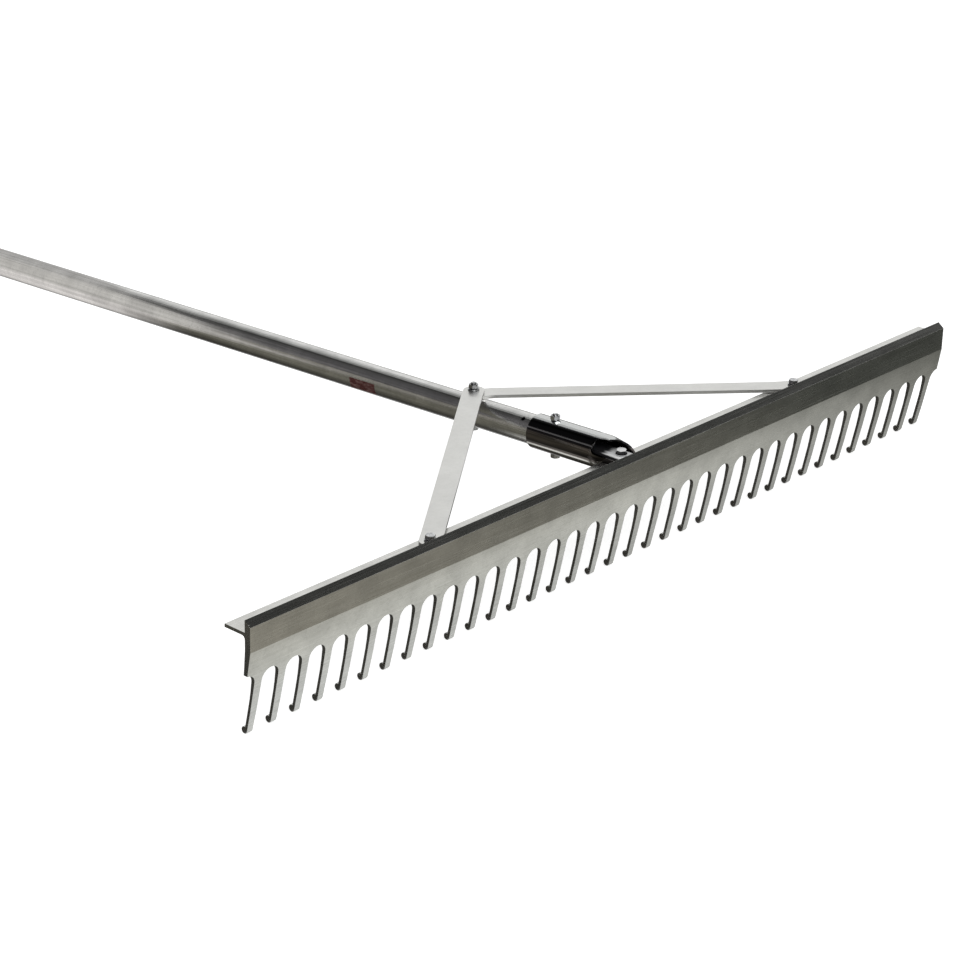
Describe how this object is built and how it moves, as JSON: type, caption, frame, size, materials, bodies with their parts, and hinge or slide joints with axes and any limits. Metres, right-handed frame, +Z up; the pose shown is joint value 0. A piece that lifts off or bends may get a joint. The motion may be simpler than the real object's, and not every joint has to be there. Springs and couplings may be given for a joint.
{
  "type": "field rake",
  "caption": "Wide aluminium field rake with a round-tipped comb head, long tubular handle, dark steel socket and two flat braces",
  "frame": {"origin": "middle of the flat front band of the blade", "axes": "+X runs along the head, +Y from the blade back along the handle, +Z up from the flange. The tooth tips and the end of the grip rest on one level plane."},
  "size_m": [0.9144, 1.8275, 0.1174],
  "materials": {
    "mill_aluminium": "satin",
    "drawn_aluminium": "satin",
    "bar_aluminium": "satin",
    "dark_steel": "gloss",
    "zinc_steel": "satin",
    "black_vinyl": "matte"
  },
  "bodies": {
    "root": {"rake_head": "mill_aluminium", "tooth_01": "mill_aluminium", "tooth_02": "mill_aluminium", "tooth_03": "mill_aluminium", "tooth_04": "mill_aluminium", "tooth_05": "mill_aluminium", "tooth_06": "mill_aluminium", "tooth_07": "mill_aluminium", "tooth_08": "mill_aluminium", "tooth_09": "mill_aluminium", "tooth_10": "mill_aluminium", "tooth_11": "mill_aluminium", "tooth_12": "mill_aluminium", "tooth_13": "mill_aluminium", "tooth_14": "mill_aluminium", "tooth_15": "mill_aluminium", "tooth_16": "mill_aluminium", "tooth_17": "mill_aluminium", "tooth_18": "mill_aluminium", "tooth_19": "mill_aluminium", "tooth_20": "mill_aluminium", "tooth_21": "mill_aluminium", "tooth_22": "mill_aluminium", "tooth_23": "mill_aluminium", "tooth_24": "mill_aluminium", "tooth_25": "mill_aluminium", "tooth_26": "mill_aluminium", "tooth_27": "mill_aluminium", "tooth_28": "mill_aluminium", "tooth_29": "mill_aluminium", "tooth_30": "mill_aluminium", "tooth_31": "mill_aluminium", "tooth_32": "mill_aluminium", "tooth_33": "mill_aluminium", "tooth_34": "mill_aluminium", "tooth_35": "mill_aluminium", "tooth_36": "mill_aluminium", "handle_tube": "drawn_aluminium", "handle_grip": "black_vinyl", "handle_socket": "dark_steel", "socket_tang": "zinc_steel", "brace_left": "bar_aluminium", "brace_right": "bar_aluminium", "brace_left_flange_bolt": "zinc_steel", "brace_left_flange_washer": "zinc_steel", "brace_left_flange_nut": "zinc_steel", "brace_right_flange_bolt": "zinc_steel", "brace_right_flange_washer": "zinc_steel", "brace_right_flange_nut": "zinc_steel", "socket_flange_bolt": "zinc_steel", "socket_flange_washer": "zinc_steel", "socket_flange_nut": "zinc_steel", "socket_tube_bolt": "zinc_steel", "socket_tube_nut": "zinc_steel", "brace_tube_bolt": "zinc_steel", "brace_tube_washer": "zinc_steel", "brace_tube_nut": "zinc_steel"}
  },
  "joints": []
}
